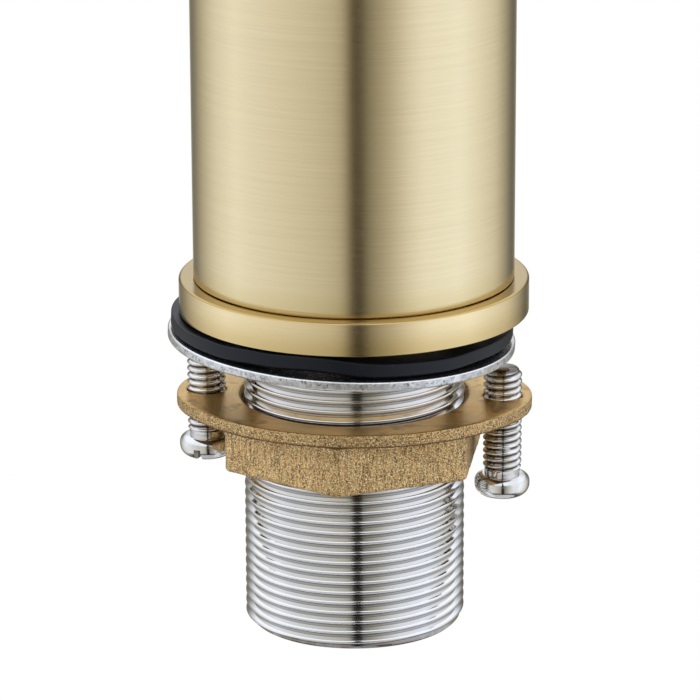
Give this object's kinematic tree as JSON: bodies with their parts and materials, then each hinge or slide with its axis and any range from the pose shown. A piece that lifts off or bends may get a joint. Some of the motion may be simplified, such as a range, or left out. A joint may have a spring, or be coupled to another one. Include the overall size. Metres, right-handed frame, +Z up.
{
  "type": "tall basin mixer",
  "caption": "Tall round deck-mounted basin mixer with pin lever and curved spout; threaded shank carries a gasket, washer and flanged backnut with jack screws below the base ring.",
  "frame": {"origin": "on the column's axis, in the plane of the base ring's underside, where the ring stands on the deck", "axes": "+Z up along the column, -Y towards the user along the spout, +X to the user's right"},
  "size_m": [0.0525, 0.1811, 0.3732],
  "materials": {
    "brushed_gold": "brushed champagne gold, lacquered by vapour coating",
    "plated_shank": "nickel-plated cut thread",
    "washer_steel": "pressed plain steel",
    "black_rubber": "moulded black rubber",
    "cast_brass": "raw sand-cast, top face turned",
    "screw_plating": "bright nickel plate",
    "machined_brass": "machined casting",
    "cartridge_plastic": "moulded grey-white plastic",
    "carrier_plastic": "moulded blue-grey plastic",
    "ceramic": "lapped white ceramic",
    "aerator_plastic": "moulded white plastic",
    "pin_steel": "drawn steel",
    "grub_steel": "black-oxide steel"
  },
  "bodies": {
    "mixer": {"column_tube": "brushed_gold", "base_ring": "brushed_gold", "spout_tube": "brushed_gold", "dress_ring": "brushed_gold", "aerator_housing": "brushed_gold", "threaded_shank": "plated_shank", "foot_seal": "black_rubber", "spout_seals": "black_rubber", "port_seals": "black_rubber", "aerator_washer": "black_rubber", "foot_bush": "machined_brass", "mixer_core": "machined_brass", "spout_nipple": "machined_brass", "retaining_nut": "machined_brass", "cartridge_shell": "cartridge_plastic", "cartridge_base": "cartridge_plastic", "fixed_disc": "ceramic", "aerator_insert": "aerator_plastic", "spout_grub_screw": "grub_steel"},
    "spindle": {"spindle_housing": "carrier_plastic", "pivot_pin": "pin_steel"},
    "discs": {"disc_carrier": "carrier_plastic", "moving_disc": "ceramic"},
    "handle": {"lever_spindle": "pin_steel", "handle_cap": "brushed_gold", "lever_pin": "brushed_gold", "handle_grub_screw": "grub_steel", "index_plug": "brushed_gold"},
    "washers": {"rubber_gasket": "black_rubber", "steel_washer": "washer_steel"},
    "nut": {"backnut": "cast_brass"},
    "left_screw": {"left_jack_screw": "screw_plating"},
    "right_screw": {"right_jack_screw": "screw_plating"}
  },
  "joints": [
    {"name": "handle_turn", "type": "hinge", "parent": "mixer", "child": "spindle", "pos_m": [0, 0, 0.2905], "axis": [0, 0, 1], "range_deg": [-45, 45]},
    {"name": "handle_lift", "type": "hinge", "parent": "spindle", "child": "handle", "pos_m": [0, 0, 0.2905], "axis": [-1, 0, 0], "range_deg": [0, 25]},
    {"name": "disc_slide", "type": "slide", "parent": "spindle", "child": "discs", "axis": [0, 1, 0], "range_m": [-0.0055, 0]},
    {"name": "nut_travel", "type": "slide", "parent": "mixer", "child": "nut", "axis": [0, 0, 1], "range_m": [-0.024, 0]},
    {"name": "washer_slide", "type": "slide", "parent": "mixer", "child": "washers", "axis": [0, 0, 1], "range_m": [-0.024, 0]},
    {"name": "left_screw_travel", "type": "slide", "parent": "nut", "child": "left_screw", "axis": [0, 0, 1], "range_m": [-0.0087, 0]},
    {"name": "right_screw_travel", "type": "slide", "parent": "nut", "child": "right_screw", "axis": [0, 0, 1], "range_m": [-0.0039, 0.0024]}
  ],
  "couplings": [
    {"joint": "disc_slide", "follows": "handle_lift", "m_per_rad": -0.0119},
    {"joint": "washer_slide", "follows": "nut_travel", "ratio": 1}
  ]
}
